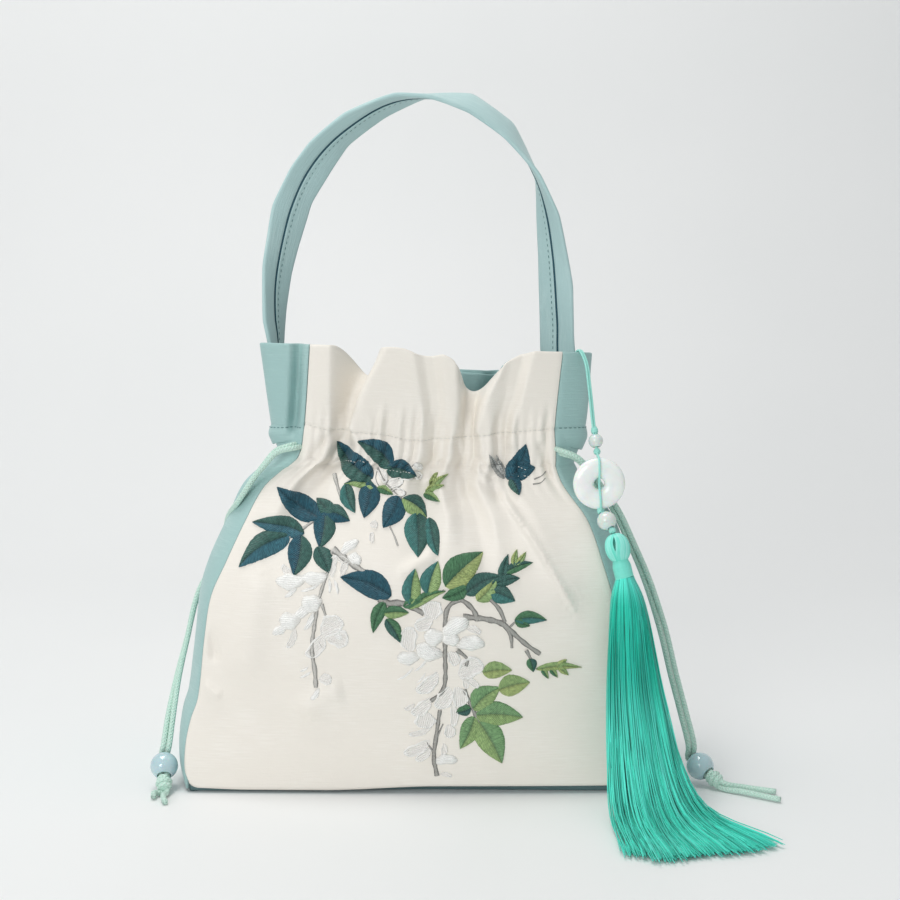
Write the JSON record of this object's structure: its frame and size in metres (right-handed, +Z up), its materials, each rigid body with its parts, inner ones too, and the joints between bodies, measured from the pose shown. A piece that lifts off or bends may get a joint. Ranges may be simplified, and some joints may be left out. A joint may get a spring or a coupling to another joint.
{
  "type": "drawstring bucket bag",
  "caption": "Embroidered drawstring bucket bag with a gathered ruffle mouth, looped cloth strap, beaded cord ends and a jade ring tassel charm.",
  "frame": {"origin": "middle of the base's underside, on the surface that the bag stands on", "axes": "+Z up, -Y towards the embroidered front, +X to the right seen from the front"},
  "size_m": [0.3095, 0.1997, 0.3487],
  "materials": {
    "ivory_satin": "satin",
    "pale_teal_cloth": "satin",
    "strap_cloth": "satin",
    "mint_cord": "satin",
    "aqua_cord": "satin",
    "tassel_silk": "satin",
    "bead_glaze": "gloss",
    "white_jade": "polished"
  },
  "bodies": {
    "root": {"front_panel": "ivory_satin", "back_panel": "ivory_satin", "left_gusset": "pale_teal_cloth", "right_gusset": "pale_teal_cloth", "base_panel": "pale_teal_cloth", "lining": "pale_teal_cloth", "handle_strap": "strap_cloth", "left_knot": "mint_cord", "right_knot": "mint_cord", "left_bead": "bead_glaze", "right_bead": "bead_glaze", "charm_bead_upper": "bead_glaze", "charm_bead_lower": "bead_glaze", "jade_ring": "white_jade", "tassel": "tassel_silk", "left_cord_a": "mint_cord", "left_cord_b": "mint_cord", "right_cord_a": "mint_cord", "right_cord_b": "mint_cord", "left_tail_a": "mint_cord", "left_tail_b": "mint_cord", "right_tail_a": "mint_cord", "right_tail_b": "mint_cord", "charm_cord_front": "aqua_cord", "charm_cord_back": "aqua_cord"}
  },
  "joints": []
}
